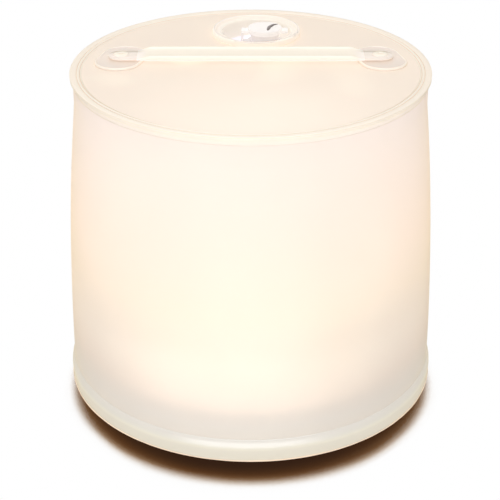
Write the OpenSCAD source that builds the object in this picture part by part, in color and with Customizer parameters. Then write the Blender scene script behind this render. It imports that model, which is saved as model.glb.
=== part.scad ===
// Inflatable solar camping lantern: a welded film drum standing on a sealed light unit.
// The origin is on the ground under the middle of the light unit and +Z is up. The front is at -Y.

/* [Film drum] */
// Diameter of the top flange
top_d = 121; // [119:0.2:127]
// Diameter of the bottom flange
base_d = 130; // [126:0.2:136]
// Height of the inflated drum, from the bottom film to the top film
drum_h = 114; // [70:1:140]
// How far the wall swells out halfway up
wall_swell = 1.1; // [0.2:0.1:3]
// How far the flanges stand out past the wall
flange_lip = 1; // [0.7:0.1:2]
// Thickness of the film sheets
film_t = 0.5; // [0.3:0.1:0.8]
// Width of the pressed bead on the top flange
rim_bead_w = 1.5; // [0.8:0.1:2.4]
// Width of the flat lip outside that bead
rim_lip_w = 1.2; // [0.6:0.1:2]
// Height of the bead above the film
rim_h = 0.9; // [0.5:0.1:1.6]
// Height of the weld band round the foot of the wall
lower_band_h = 4.2; // [2:0.1:8]
// Height of the weld band under the top flange
upper_band_h = 2.2; // [1:0.1:4]
// Thickness of both weld bands
band_t = 0.4; // [0.2:0.1:0.6]
// Width of the lap seam down the back of the wall
seam_w = 8; // [5:0.5:14]
// Thickness of the lap seam
seam_t = 0.3; // [0.2:0.1:0.6]

/* [Carry strap] */
// Distance from each stud to the padded middle of the strap
strap_gap = 6.5; // [5:0.5:11]
// Width of the padded middle
strap_w = 11; // [10:0.5:15]
// Thickness of the padded middle
strap_t = 1.4; // [1:0.1:2.4]
// Radius of the bead along each long edge
strap_bead_r = 1; // [0.8:0.1:1.6]
// Corner radius of the padded middle
strap_corner_r = 4.5; // [2:0.5:5]
// Thickness of the thin end tabs
tab_t = 0.8; // [0.5:0.1:1]
// Width of the thin end tabs
tab_w = 9; // [7:0.5:11]
// Distance of each stud inside the edge of the top flange
stud_inset = 16.5; // [14.5:0.1:17.5]
// Diameter of a stud
stud_d = 4; // [3:0.2:4.6]
// Height of the dome on a stud
stud_dome_h = 0.5; // [0.3:0.1:0.9]
// Distance of the strap behind the middle of the drum
strap_back = 8.4; // [6:0.1:9]
// Length of an oval pad
pad_l = 23; // [20:0.5:25]
// Width of an oval pad
pad_w = 16; // [14:0.2:17]
// How far each oval pad is turned on the film
pad_turn = 16; // [0:1:25]
// Width of the ridge round a pad
pad_ridge_w = 0.9; // [0.6:0.1:1.2]
// Thickness of a pad inside its ridge
pad_t = 0.5; // [0.4:0.1:0.8]
// Height of the ridge above the pad
pad_ridge_h = 0.5; // [0.3:0.1:0.9]

/* [Valve] */
// Distance of the valve behind the middle of the drum
valve_back = 35; // [34:0.5:39]
// Distance of the valve to the right of the middle
valve_side = 2; // [-4:0.5:4]
// Outer diameter of the valve flange
valve_d = 31; // [30:0.2:33]
// Inner diameter of the valve cup
cup_d = 24; // [23.4:0.2:25]
// Depth of the cup below the film
cup_depth = 4.5; // [4:0.1:6]
// Wall thickness of the cup and the flange
cup_wall = 1.2; // [0.8:0.1:1.6]
// Width of the raised ring at the edge of the flange
cup_ring_w = 1.5; // [1:0.1:1.8]
// Height of the raised ring above the flange
cup_ring_h = 0.8; // [0.4:0.1:1.4]
// Distance of the stem to the right of the cup's centre
stem_offset = 3; // [2.8:0.1:3.4]
// Height of the stem's mouth above the film
stem_rise = 0.6; // [0:0.1:1.2]
// Outer diameter of the stem
stem_d = 10; // [9:0.1:10.4]
// Bore of the stem
stem_bore_d = 7.2; // [6.4:0.1:7.6]
// How far the stem pulls out
stem_pull = 4.7; // [3:0.1:6]
// Thickness of the stem's collar and of its lower lip
collar_t = 0.8; // [0.6:0.1:1.2]
// Width of the stem's collar and of its lower lip
collar_w = 1.1; // [0.8:0.1:1.4]
// Diameter of the cap
cap_d = 12; // [11:0.1:12.6]
// Thickness of the cap
cap_t = 1.6; // [1.2:0.1:2]
// Depth of the plug under the cap
plug_depth = 3.3; // [2:0.1:3.6]
// Distance from the cap's centre to its living hinge
cap_reach = 8.5; // [8.2:0.1:9]
// Width of the tether and of the cap's tabs
tether_w = 4; // [3:0.1:5]
// Thickness of the tether and of the cap's tabs
tether_t = 0.8; // [0.6:0.1:1]
// Thickness of the check flap
flap_t = 0.6; // [0.4:0.1:1]

/* [Light unit case] */
// Height of the bottom film above the ground
stand_h = 8; // [7.6:0.1:11]
// Diameter of the lower case
case_d = 108; // [107:0.5:112]
// Wall thickness of the lower case
case_wall = 2; // [1.6:0.1:2.4]
// Height of the case floor's inner face above the ground
floor_top = 2.6; // [2.4:0.1:3.2]
// Width of the ring that the lantern stands on
foot_w = 2; // [1.2:0.1:2.4]
// Height of that ring
foot_h = 0.5; // [0.3:0.1:0.7]
// Distance of that ring from the edge of the case
foot_inset = 1; // [0.5:0.1:1.2]
// Inner diameter of the rims that clamp the bottom film
clamp_d = 92; // [91:0.5:93]
// Thickness of the lower case's clamping rim
clamp_t = 1.8; // [1.6:0.1:2.2]
// Diameter of the upper housing
housing_d = 112; // [110:0.5:116]
// Height of the upper housing's wall
housing_h = 12; // [11:0.1:16]
// Wall thickness of the upper housing
housing_wall = 1.8; // [1.4:0.1:2.2]
// Thickness of the upper housing's clamping rim
housing_rim_t = 1.2; // [0.8:0.1:1.6]
// Thickness of the lens
lens_t = 1.5; // [1.2:0.1:3]
// Depth of the lens's spigot
spigot_h = 1.5; // [1:0.1:1.8]
// Thickness of the lens's spigot
spigot_w = 1.2; // [0.8:0.1:2]
// Section diameter of the seal ring
seal_d = 1.2; // [0.8:0.1:1.3]
// Number of case screws
case_screw_count = 6; // [4:1:8]
// Shank diameter of every screw
screw_d = 2; // [1.6:0.1:2.2]
// Head diameter of every screw
screw_head_d = 3.8; // [3.2:0.1:4]
// Head height of every screw
screw_head_h = 1.2; // [0.8:0.1:1.4]
// Depth that a screw goes into its boss
screw_grip = 3; // [2:0.1:3.4]
// Wall of the bosses round the screws
boss_wall = 1.2; // [1:0.1:1.5]

/* [Solar panel] */
// Width of the window
window_w = 78; // [76:0.5:79]
// Depth of the window from front to back
window_l = 54; // [52:0.5:55]
// Thickness of the window
window_t = 1; // [0.8:0.1:1.2]
// Corner radius of the window
window_r = 3; // [2:0.5:5]
// Width of the ledge behind the window
ledge_w = 1.8; // [1.4:0.1:2]
// Corner radius of the ledge and of the backing board
ledge_r = 0.8; // [0.5:0.1:0.9]
// Distance of the panel behind the middle of the case
panel_back = 5; // [4:0.5:5.5]
// Cells across the panel
cells_x = 3; // [2:1:5]
// Cells from front to back
cells_y = 2; // [1:1:4]
// Gap between cells
cell_gap = 1; // [0.6:0.1:2]
// Thickness of a cell
cell_t = 0.4; // [0.3:0.1:0.6]
// Thickness of the backing board
backing_t = 1.2; // [0.8:0.1:1.6]

/* [Lights] */
// Number of lamps
led_count = 10; // [6:1:14]
// Diameter of the ring of lamps
led_ring_d = 84; // [76:0.5:86]
// Width of a lamp's body
led_w = 3.5; // [2.8:0.1:4]
// Height of a lamp's body
led_h = 1; // [0.8:0.1:1.4]
// Diameter of the dome on a lamp
led_dome_d = 2.8; // [2:0.1:2.8]
// Outer diameter of the lamp board
led_board_d = 102; // [101:0.2:104]
// Inner diameter of the lamp board
led_board_bore = 40; // [30:1:50]
// Thickness of every circuit board
board_t = 1.2; // [0.8:0.1:1.6]
// Height of the lamp board's posts above the clamping rim
led_post_h = 5.3; // [5:0.1:5.6]
// Thickness of the reflector sheet
reflector_t = 0.5; // [0.3:0.1:0.8]

/* [Battery and controls] */
// Width of the battery
battery_w = 46; // [36:1:48]
// Length of the battery from front to back
battery_l = 32; // [26:1:34]
// Thickness of the battery
battery_t = 6; // [4:0.1:6.2]
// Corner radius of the battery
battery_r = 2; // [1:0.5:4]
// How far the battery stands out past its foam pad
foam_inset = 3; // [1:0.5:5]
// Thickness of the foam pad under the battery
foam_t = 0.6; // [0.4:0.1:0.8]
// Gap between the control board's curved edge and the clamping rim
control_gap = 2; // [1.5:0.1:2.4]
// Distance of the control board's straight edge from the middle of the case
control_front = 25.5; // [25:0.1:26]
// Height of the control board's posts above the case floor
control_post_h = 3.4; // [3.2:0.1:3.6]
// Distance of the buttons in front of the middle of the case
button_front = 36; // [35.5:0.1:36.5]
// Diameter of the power button
power_d = 13; // [11:0.5:14]
// Diameter of the charge button
charge_d = 8; // [7:0.2:9]
// Distance of the charge button to the right of the power button
charge_side = 17.5; // [17:0.1:18]
// How far the buttons travel
press = 0.4; // [0.3:0.05:0.5]
// Width of a button's retaining lip
button_lip_w = 1.5; // [1:0.1:1.6]
// Thickness of a button's retaining lip
button_lip_t = 0.8; // [0.5:0.1:0.9]
// Number of charge lights
pipe_count = 4; // [3:1:5]
// Diameter of a light pipe
pipe_d = 2.4; // [1.8:0.1:2.6]
// Diameter of a lead
lead_d = 1.2; // [0.8:0.1:1.4]

/* [Hidden] */
$fn = 72;
tiny = 0.01;        // overlap of the cutting bodies
touch = 0.05;       // gap between pieces that rest or slide on each other
clear = 0.3;        // gap between pieces that only pass each other
run_fit = 0.06;     // radial gap of a running fit

// Drum
top_r = top_d / 2;
base_r = base_d / 2;
film_top = stand_h + film_t;             // upper face of the bottom film
roof_z = stand_h + drum_h;               // upper face of the top film
wall_foot = film_top;
wall_head = roof_z - film_t - touch;
wall_steps = 14;

// Strap
pad_top = roof_z + pad_t;
ridge_top = pad_top + pad_ridge_h;
strap_z = ridge_top + touch;
stud_h = strap_z - pad_top + tab_t;
stud_span = top_d - 2 * stud_inset;
strap_l = stud_span - 2 * strap_gap;
stud_dimple_d = 1;
stud_dimple_depth = 0.8;

// Valve
finger_tab = 2.2;
tether_ring_w = 1.6;
tab_overlap = 1;      // how far a tab runs into the cap
plug_taper = 0.7;
flap_inset = 0.4;
hinge_gap = 0.1;
valve_r = valve_d / 2;
cup_r = cup_d / 2;
cup_floor = roof_z - cup_depth;
flange_top = roof_z + cup_wall;
stem_x = valve_side + stem_offset;
stem_r = stem_d / 2;
stem_top = roof_z + stem_rise;
collar_r = stem_r + collar_w;
lip_top = cup_floor - cup_wall - stem_pull - clear;
stem_foot = lip_top - collar_t;
tether_z = cup_floor + touch + collar_t + touch;
plug_top_r = stem_bore_d / 2 - clear;
plug_foot_r = plug_top_r - plug_taper;
flap_reach = stem_r - flap_inset;

// Case
case_r = case_d / 2;
clamp_r = clamp_d / 2;
housing_r = housing_d / 2;
housing_top = film_top + housing_h;
lens_top = housing_top + lens_t;
case_screw_r = clamp_r + screw_head_d / 2 + clear;
case_screw_first = 30;
boss_roof = 1;        // boss above the screw's tip
seal_r = case_screw_r + screw_head_d / 2 + seal_d / 2;
boss_r = screw_d / 2 + boss_wall;
rim_top = film_top + housing_rim_t;

// Panel
ledge_x = window_w - 2 * ledge_w;
ledge_y = window_l - 2 * ledge_w;
panel_x = ledge_x - 2 * clear;
panel_y = ledge_y - 2 * clear;
backing_margin = 0.9;
backing_x = ledge_x + 2 * backing_margin;
backing_y = ledge_y + 2 * backing_margin;
cell_x = (panel_x - (cells_x - 1) * cell_gap) / cells_x;
cell_y = (panel_y - (cells_y - 1) * cell_gap) / cells_y;
backing_top = floor_top + backing_t;

// Lights
led_board_z = rim_top + led_post_h;
led_board_top = led_board_z + board_t;
led_post_count = 3;
led_first = 18;
led_post_r = led_board_d / 2 - boss_r - 0.2;

// Battery and controls
battery_z = backing_top + foam_t;
battery_y = panel_back;
control_z = floor_top + control_post_h;
control_top = control_z + board_t;
control_r = clamp_r - control_gap;
switch_w = 6;
switch_h = 1.6;
plunger_h = 0.4;
plunger_d = 3;
button_z = foot_h;
button_top = control_z - switch_h - plunger_h - press - touch;
post_spots = [[-32, -28], [32, -28], [9, -27.6]];
pipe_ring_r = 38.5;
pipe_first = 250;
pipe_step = 6;
pipe_gap = clear;
pipe_head_t = 0.7;
light_size = [2, 1.4, 0.8];
chips = [[[0, -36], [6, 6, 1]], [[16.5, -36], [5, 4, 1.4]], [[-22, -35], [4, 4, 2]],
         [[20.6, -30.5], [1.2, 2, 0.7]], [[23, -30.5], [1.2, 2, 0.7]],
         [[25.4, -30.5], [1.2, 2, 0.7]]];      // centre and size of each part on the control board
socket_size = [6, 4.5, 4];
socket_at = [-10, -30];
lead_gap = 2.4;
solar_lead_back = 2;
solar_lead_rise = 1.6;
led_lead_at = [8, -41];

function ring_spot(i, count, r, first = 0) =
    let (a = first + i * 360 / count) [r * cos(a), r * sin(a)];
// Outer radius of the wall at a share of its height
function wall_r(u) =
    (base_r - flange_lip) * (1 - u) + (top_r - flange_lip) * u + wall_swell * sin(180 * u);
function wall_u(z) = (z - wall_foot) / (wall_head - wall_foot);
// Profile points along the wall from z0 to z1, at an offset from its outer face
function wall_line(z0, z1, offset, steps) =
    [for (i = [0:steps]) let (z = z0 + (z1 - z0) * i / steps) [wall_r(wall_u(z)) + offset, z]];
function back_to_front(list) = [for (i = [len(list) - 1:-1:0]) list[i]];

module ring(outer_r, inner_r, z0, z1) {
    translate([0, 0, z0]) difference() {
        cylinder(r = outer_r, h = z1 - z0);
        translate([0, 0, -tiny]) cylinder(r = inner_r, h = z1 - z0 + 2 * tiny);
    }
}

module rounded_sheet(w, l, t, r) {
    linear_extrude(t) {
        square([w - 2 * r, l], center = true);
        square([w, l - 2 * r], center = true);
        for (sx = [-1, 1], sy = [-1, 1])
            translate([sx * (w / 2 - r), sy * (l / 2 - r)]) circle(r = r);
    }
}

module at_ring(count, r, first = 0) {
    for (i = [0:count - 1])
        translate(ring_spot(i, count, r, first)) children();
}

// A bare lead through a list of points, with flat ends and round corners
module lead(points) {
    for (i = [0:len(points) - 2]) {
        step = points[i + 1] - points[i];
        span = norm(step);
        translate(points[i])
            rotate([0, acos(step[2] / span), atan2(step[1], step[0])])
            cylinder(d = lead_d, h = span, $fn = 24);
        if (i > 0) translate(points[i]) sphere(d = lead_d, $fn = 24);
    }
}

module screw(grip_l) {
    translate([0, 0, -tiny]) cylinder(d = screw_d, h = grip_l + tiny, $fn = 24);
    translate([0, 0, -screw_head_h]) difference() {
        cylinder(d = screw_head_d, h = screw_head_h, $fn = 32);
        translate([0, 0, -tiny]) cylinder(d = screw_d * 0.9, h = screw_head_h / 2, $fn = 6);
    }
}

// A band of film that follows the outside of the wall
module wall_band(z0, z1, thickness, steps, sweep = 360) {
    rotate([0, 0, 90 - sweep / 2]) rotate_extrude(angle = sweep)
        polygon(concat(wall_line(z0, z1, touch, steps),
                       back_to_front(wall_line(z0, z1, touch + thickness, steps))));
}

// ---- Light unit ----

module lower_case() {
    color("gainsboro") difference() {
        union() {
            difference() {
                translate([0, 0, foot_h]) cylinder(r = case_r, h = stand_h - foot_h);
                translate([0, 0, floor_top]) cylinder(r = case_r - case_wall, h = stand_h);
            }
            ring(case_r - foot_inset, case_r - foot_inset - foot_w, 0, foot_h + tiny);
            ring(case_r - tiny, clamp_r, stand_h - clamp_t, stand_h);
            for (spot = post_spots)
                translate([spot[0], spot[1], foot_h]) cylinder(r = boss_r, h = control_z - foot_h);
        }
        translate([0, panel_back, foot_h - tiny])
            rounded_sheet(window_w + 2 * touch, window_l + 2 * touch, window_t + touch + tiny, window_r);
        translate([0, panel_back, 0]) rounded_sheet(ledge_x, ledge_y, floor_top + tiny, ledge_r);
        translate([0, -button_front, 0]) cylinder(d = power_d + 2 * clear, h = floor_top + tiny);
        translate([charge_side, -button_front, 0])
            cylinder(d = charge_d + 2 * clear, h = floor_top + tiny);
        for (i = [0:pipe_count - 1]) let (a = pipe_first - i * pipe_step)
            translate([pipe_ring_r * cos(a), pipe_ring_r * sin(a), 0])
            cylinder(d = pipe_d + 2 * touch, h = floor_top + tiny, $fn = 32);
        for (spot = post_spots)
            translate([spot[0], spot[1], control_z - screw_grip])
            cylinder(d = screw_d + 2 * touch, h = screw_grip + tiny, $fn = 24);
        at_ring(case_screw_count, case_screw_r, case_screw_first)
            translate([0, 0, stand_h - clamp_t - tiny])
            cylinder(d = screw_d + 2 * touch, h = clamp_t + 2 * tiny, $fn = 24);
        ring(seal_r + seal_d / 2 + touch, seal_r - seal_d / 2 - touch,
             stand_h - seal_d - touch, stand_h + tiny);
    }
}

module solar_window() {
    color([0.75, 0.85, 0.9, 0.4]) translate([0, panel_back, foot_h])
        rounded_sheet(window_w, window_l, window_t, window_r);
}

module solar_cells() {
    color("midnightblue") translate([0, panel_back, floor_top - cell_t])
        for (i = [0:cells_x - 1], j = [0:cells_y - 1])
            translate([-panel_x / 2 + i * (cell_x + cell_gap), -panel_y / 2 + j * (cell_y + cell_gap)])
            cube([cell_x, cell_y, cell_t]);
}

module solar_backing() {
    color("whitesmoke") translate([0, panel_back, floor_top])
        rounded_sheet(backing_x, backing_y, backing_t, ledge_r);
}

module solar_leads() {
    from_y = panel_back - backing_y / 2 + solar_lead_back;
    over_z = control_top + solar_lead_rise;
    solder_y = -control_front - solar_lead_back;
    color("firebrick") for (side = [-1, 1])
        lead([[side * lead_gap, from_y, backing_top], [side * lead_gap, from_y, over_z],
              [side * lead_gap, solder_y, over_z], [side * lead_gap, solder_y, control_top]]);
}

module seal_ring() {
    color("dimgray") translate([0, 0, stand_h - seal_d / 2])
        rotate_extrude() translate([seal_r, 0]) circle(d = seal_d, $fn = 24);
}

module case_screws() {
    color("silver") at_ring(case_screw_count, case_screw_r, case_screw_first)
        translate([0, 0, stand_h - clamp_t])
        screw(clamp_t + film_t + housing_rim_t + screw_grip - touch);
}

module upper_housing() {
    color([0.93, 0.93, 0.9, 0.8]) difference() {
        union() {
            ring(housing_r, housing_r - housing_wall, film_top, housing_top);
            ring(housing_r - tiny, clamp_r, film_top, rim_top);
            at_ring(case_screw_count, case_screw_r, case_screw_first)
                translate([0, 0, film_top]) cylinder(r = boss_r, h = housing_rim_t + screw_grip + boss_roof);
            at_ring(led_post_count, led_post_r)
                translate([0, 0, film_top]) cylinder(r = boss_r, h = led_board_z - film_top);
        }
        at_ring(case_screw_count, case_screw_r, case_screw_first) translate([0, 0, film_top - tiny])
            cylinder(d = screw_d + 2 * touch, h = housing_rim_t + screw_grip + tiny, $fn = 24);
        at_ring(led_post_count, led_post_r) translate([0, 0, led_board_z - screw_grip])
            cylinder(d = screw_d + 2 * touch, h = screw_grip + tiny, $fn = 24);
    }
}

module top_lens() {
    edge_r = lens_t * 0.6;
    color([0.97, 0.97, 0.95, 0.7]) {
        rotate_extrude()
            polygon(concat([[0, housing_top], [housing_r, housing_top]],
                           [for (a = [0:15:90]) [housing_r - edge_r + edge_r * cos(a),
                                                 lens_top - edge_r + edge_r * sin(a)]],
                           [[0, lens_top]]));
        ring(housing_r - housing_wall - touch, housing_r - housing_wall - touch - spigot_w,
             housing_top - spigot_h, housing_top + tiny);
    }
}

module led_board() {
    color("white") difference() {
        ring(led_board_d / 2, led_board_bore / 2, led_board_z, led_board_top);
        at_ring(led_post_count, led_post_r) translate([0, 0, led_board_z - tiny])
            cylinder(d = screw_d + 2 * touch, h = board_t + 2 * tiny, $fn = 24);
    }
}

module led_screws() {
    color("silver") at_ring(led_post_count, led_post_r) translate([0, 0, led_board_top])
        mirror([0, 0, 1]) screw(board_t + screw_grip - touch);
}

module led_lamps() {
    color("lemonchiffon") at_ring(led_count, led_ring_d / 2, led_first) translate([0, 0, led_board_top]) {
        translate([-led_w / 2, -led_w / 2, 0]) cube([led_w, led_w, led_h]);
        translate([0, 0, led_h - tiny]) intersection() {
            sphere(d = led_dome_d, $fn = 32);
            translate([0, 0, led_dome_d / 2]) cube(led_dome_d, center = true);
        }
    }
}

module reflector_sheet() {
    color("white") difference() {
        ring(housing_r - housing_wall - clear, led_board_bore / 2,
             led_board_top, led_board_top + reflector_t);
        at_ring(led_count, led_ring_d / 2, led_first) translate([0, 0, led_board_top - tiny])
            cylinder(d = led_w * sqrt(2) + 2 * clear, h = reflector_t + 2 * tiny, $fn = 32);
        at_ring(led_post_count, led_post_r) translate([0, 0, led_board_top - tiny])
            cylinder(d = screw_head_d + 2 * clear, h = reflector_t + 2 * tiny, $fn = 32);
    }
}

module led_leads() {
    color("firebrick") for (side = [-1, 1])
        translate([led_lead_at[0] + side * lead_gap / 2, led_lead_at[1], control_top])
        cylinder(d = lead_d, h = led_board_z - control_top, $fn = 24);
}

module battery() {
    color("lightsteelblue") translate([0, battery_y, battery_z])
        rounded_sheet(battery_w, battery_l, battery_t, battery_r);
}

module battery_foam() {
    color("gray") translate([0, battery_y, backing_top])
        rounded_sheet(battery_w - 2 * foam_inset, battery_l - 2 * foam_inset, foam_t, battery_r / 2);
}

module battery_leads() {
    from_y = battery_y - battery_l / 2;
    to_y = socket_at[1] + socket_size[1] / 2;
    lead_z = control_top + socket_size[2] * 0.45;
    color("firebrick") for (side = [-1, 1])
        translate([socket_at[0] + side * lead_gap / 2, from_y, lead_z])
        rotate([90, 0, 0]) cylinder(d = lead_d, h = from_y - to_y, $fn = 24);
}

module battery_socket() {
    color("ivory") translate([socket_at[0], socket_at[1], control_top + socket_size[2] / 2])
        cube(socket_size, center = true);
}

module control_board() {
    color("seagreen") translate([0, 0, control_z]) difference() {
        intersection() {
            cylinder(r = control_r, h = board_t);
            translate([-control_r, -control_front - control_r, -tiny])
                cube([2 * control_r, control_r, board_t + 2 * tiny]);
        }
        for (spot = post_spots) translate([spot[0], spot[1], -tiny])
            cylinder(d = screw_d + 2 * touch, h = board_t + 2 * tiny, $fn = 24);
    }
}

module control_chips() {
    color("dimgray") for (chip = chips)
        translate([chip[0][0], chip[0][1], control_top + chip[1][2] / 2]) cube(chip[1], center = true);
}

module control_screws() {
    color("silver") for (spot = post_spots) translate([spot[0], spot[1], control_top])
        mirror([0, 0, 1]) screw(board_t + screw_grip - touch);
}

module button_switches() {
    color("black") for (x = [0, charge_side]) translate([x, -button_front, control_z]) {
        translate([-switch_w / 2, -switch_w / 2, -switch_h]) cube([switch_w, switch_w, switch_h]);
        translate([0, 0, -switch_h - plunger_h]) cylinder(d = plunger_d, h = plunger_h + tiny, $fn = 32);
    }
}

// A push button: a face in the case floor, a lip that keeps it in and a post under the switch
module push_button(d) {
    lip_z = floor_top + touch;
    translate([0, 0, button_z]) cylinder(d = d, h = lip_z - button_z + tiny);
    translate([0, 0, lip_z]) cylinder(d = d + 2 * button_lip_w, h = button_lip_t);
    translate([0, 0, lip_z]) cylinder(d = plunger_d, h = button_top - lip_z, $fn = 32);
}

module power_button() {
    color("darkgray") translate([0, -button_front, 0]) push_button(power_d);
}

module charge_button() {
    color("darkgray") translate([charge_side, -button_front, 0]) push_button(charge_d);
}

module charge_lights() {
    color("palegreen") for (i = [0:pipe_count - 1]) let (a = pipe_first - i * pipe_step)
        translate([pipe_ring_r * cos(a), pipe_ring_r * sin(a), control_z - light_size[2] / 2])
        cube(light_size, center = true);
}

module light_pipes() {
    head_z = floor_top;
    color([0.9, 0.95, 1, 0.5]) for (i = [0:pipe_count - 1]) let (a = pipe_first - i * pipe_step)
        translate([pipe_ring_r * cos(a), pipe_ring_r * sin(a), 0]) {
            translate([0, 0, foot_h])
                cylinder(d = pipe_d, h = control_z - light_size[2] - pipe_gap - foot_h, $fn = 32);
            translate([0, 0, head_z]) cylinder(d = pipe_d + 3 * clear, h = pipe_head_t, $fn = 32);
        }
}

// ---- Film drum ----

module bottom_film() {
    color([0.95, 0.92, 0.85, 0.9]) difference() {
        ring(base_r, clamp_r, stand_h, film_top);
        at_ring(case_screw_count, case_screw_r, case_screw_first) translate([0, 0, stand_h - tiny])
            cylinder(d = screw_d + 2 * touch, h = film_t + 2 * tiny, $fn = 24);
    }
}

module lower_weld_band() {
    color([0.9, 0.86, 0.78, 0.9]) wall_band(wall_foot, wall_foot + lower_band_h, band_t, 2);
}

module side_wall() {
    color([1, 0.96, 0.88, 0.8]) rotate_extrude()
        polygon(concat(wall_line(wall_foot, wall_head, 0, wall_steps),
                       back_to_front(wall_line(wall_foot, wall_head, -film_t, wall_steps))));
}

module wall_seam() {
    mid_r = (base_r + top_r) / 2;
    color([1, 0.95, 0.86, 0.9])
        wall_band(wall_foot + lower_band_h + clear, roof_z - film_t - upper_band_h - clear,
                  seam_t, wall_steps, seam_w / mid_r * 180 / PI);
}

module top_film() {
    color([1, 0.95, 0.88, 0.9]) difference() {
        translate([0, 0, roof_z - film_t]) cylinder(r = top_r, h = film_t);
        translate([valve_side, valve_back, roof_z - film_t - tiny])
            cylinder(r = cup_r + cup_wall + touch, h = film_t + 2 * tiny);
    }
}

module top_rim() {
    bead_r = top_r - rim_lip_w;
    bead_in = bead_r - rim_bead_w;
    lip_h = rim_h * 0.45;
    color([1, 0.93, 0.84, 0.9]) rotate_extrude()
        polygon([[bead_in, roof_z], [top_r, roof_z], [top_r, roof_z + lip_h * 0.6],
                 [top_r - lip_h * 0.5, roof_z + lip_h], [bead_r, roof_z + lip_h],
                 [bead_r - rim_bead_w * 0.2, roof_z + rim_h], [bead_in + rim_bead_w * 0.25, roof_z + rim_h],
                 [bead_in, roof_z + rim_h * 0.5]]);
}

module upper_weld_band() {
    color([1, 0.93, 0.84, 0.9])
        wall_band(roof_z - film_t - upper_band_h, roof_z - film_t, band_t, 2);
}

module strap_pad(side) {
    color([1, 0.97, 0.9, 0.8]) translate([side * stud_span / 2, strap_back, roof_z])
        rotate([0, 0, 90 + side * pad_turn]) difference() {
            rounded_sheet(pad_l, pad_w, pad_t + pad_ridge_h, pad_w / 2 - tiny);
            translate([0, 0, pad_t])
                rounded_sheet(pad_l - 2 * pad_ridge_w, pad_w - 2 * pad_ridge_w, pad_ridge_h + tiny,
                              pad_w / 2 - pad_ridge_w - tiny);
        }
}

module left_pad() {
    strap_pad(-1);
}

module right_pad() {
    strap_pad(1);
}

module strap_studs() {
    stud_r = stud_d / 2;
    dome_r = (stud_r * stud_r + stud_dome_h * stud_dome_h) / (2 * stud_dome_h);
    color("white") for (side = [-1, 1]) translate([side * stud_span / 2, strap_back, pad_top])
        difference() {
            union() {
                cylinder(r = stud_r, h = stud_h, $fn = 48);
                translate([0, 0, stud_h]) intersection() {
                    translate([0, 0, stud_dome_h - dome_r]) sphere(r = dome_r, $fn = 96);
                    translate([0, 0, -tiny])
                        cylinder(r = stud_r - tiny, h = stud_dome_h + 2 * tiny, $fn = 48);
                }
            }
            translate([0, 0, stud_h + stud_dome_h - stud_dimple_depth])
                cylinder(d = stud_dimple_d, h = stud_dimple_depth + 1, $fn = 24);
        }
}

module carry_strap() {
    bead_y = strap_w / 2 - strap_bead_r;
    bead_l = strap_l - 2 * strap_corner_r;
    hole_r = stud_d / 2 + clear;
    color([1, 0.98, 0.93, 0.85]) translate([0, strap_back, strap_z]) difference() {
        union() {
            rounded_sheet(strap_l, strap_w, strap_t, strap_corner_r);
            for (side = [-1, 1]) {
                translate([-bead_l / 2, side * bead_y, strap_bead_r]) rotate([0, 90, 0])
                    cylinder(r = strap_bead_r, h = bead_l, $fn = 32);
                for (end = [-1, 1]) translate([end * bead_l / 2, side * bead_y, strap_bead_r])
                    sphere(r = strap_bead_r, $fn = 32);
                translate([side * stud_span / 4, 0, tab_t / 2])
                    cube([stud_span / 2, tab_w, tab_t], center = true);
                translate([side * stud_span / 2, 0, 0]) cylinder(d = tab_w, h = tab_t);
            }
        }
        for (side = [-1, 1]) translate([side * stud_span / 2, 0, -tiny])
            cylinder(r = hole_r, h = strap_t + 1);
    }
}

// ---- Valve ----

module valve_flange() {
    color([0.9, 0.93, 0.95, 0.6]) difference() {
        translate([valve_side, valve_back, 0]) rotate_extrude() {
            polygon([[0, cup_floor - cup_wall], [cup_r + cup_wall, cup_floor - cup_wall],
                     [cup_r + cup_wall, roof_z], [valve_r, roof_z],
                     [valve_r, flange_top + cup_ring_h * 0.5],
                     [valve_r - cup_ring_w * 0.3, flange_top + cup_ring_h],
                     [valve_r - cup_ring_w * 0.7, flange_top + cup_ring_h],
                     [valve_r - cup_ring_w, flange_top], [cup_r + cup_wall * 0.5, flange_top],
                     [cup_r, flange_top - cup_wall * 0.5], [cup_r, cup_floor], [0, cup_floor]]);
        }
        translate([stem_x, valve_back, cup_floor - cup_wall - tiny])
            cylinder(r = stem_r + run_fit, h = cup_wall + 2 * tiny);
    }
}

module valve_stem() {
    color([0.92, 0.95, 0.97, 0.6]) translate([stem_x, valve_back, 0]) difference() {
        union() {
            translate([0, 0, stem_foot]) cylinder(r = stem_r, h = stem_top - stem_foot);
            translate([0, 0, stem_foot]) cylinder(r = collar_r, h = collar_t);
            translate([0, 0, cup_floor + touch]) cylinder(r = collar_r, h = collar_t);
        }
        translate([0, 0, stem_foot - tiny]) cylinder(d = stem_bore_d, h = stem_top - stem_foot + 2 * tiny);
    }
}

module valve_flap() {
    color("gray") translate([stem_x, valve_back, stem_foot - touch - flap_t])
        cylinder(r = flap_reach, h = flap_t);
}

module cap_tether() {
    upright_x = -cap_reach + hinge_gap;
    color([0.9, 0.93, 0.95, 0.7]) translate([stem_x, valve_back, tether_z]) difference() {
        union() {
            cylinder(r = stem_r + tether_ring_w, h = tether_t);
            translate([upright_x, -tether_w / 2, 0]) cube([cap_reach - stem_r, tether_w, tether_t]);
            translate([upright_x, -tether_w / 2, 0])
                cube([tether_t, tether_w, stem_top - clear - tether_z]);
        }
        translate([0, 0, -tiny]) cylinder(r = stem_r + touch, h = tether_t + 2 * tiny);
    }
}

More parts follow.
